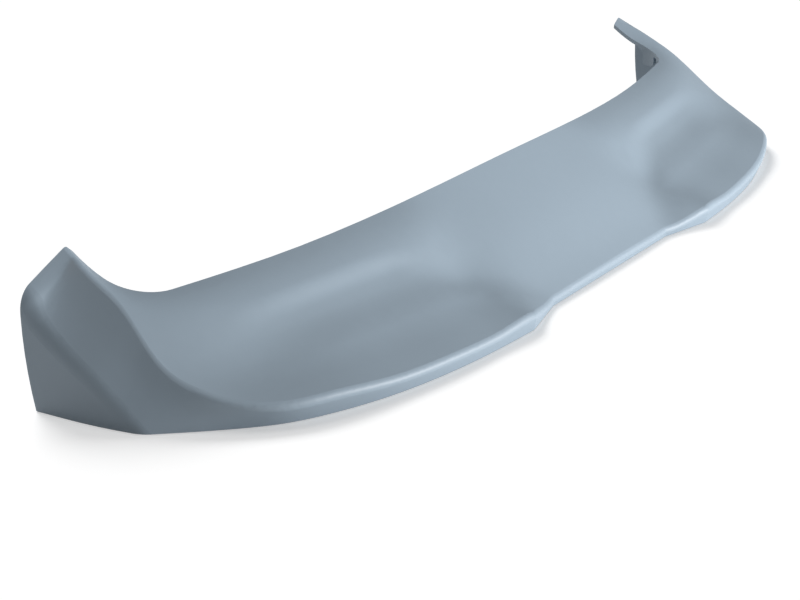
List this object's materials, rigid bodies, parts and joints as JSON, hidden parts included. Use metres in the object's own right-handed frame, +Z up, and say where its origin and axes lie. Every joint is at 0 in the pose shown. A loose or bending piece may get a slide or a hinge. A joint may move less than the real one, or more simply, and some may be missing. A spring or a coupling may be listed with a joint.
{
  "type": "roof spoiler",
  "caption": "Hollow moulded roof spoiler for a hatchback, with forward horns, leaning side skirts, shallow dishes and a notched trailing lip.",
  "frame": {"origin": "middle of the rim on which the spoiler stands, half way between the horn tips and the trailing lip", "axes": "+X across the car, +Y towards the front of the car, +Z up"},
  "size_m": [1.19, 0.2841, 0.1306],
  "materials": {
    "shell": "satin primer"
  },
  "bodies": {
    "root": {"spoiler_shell": "shell"}
  },
  "joints": []
}
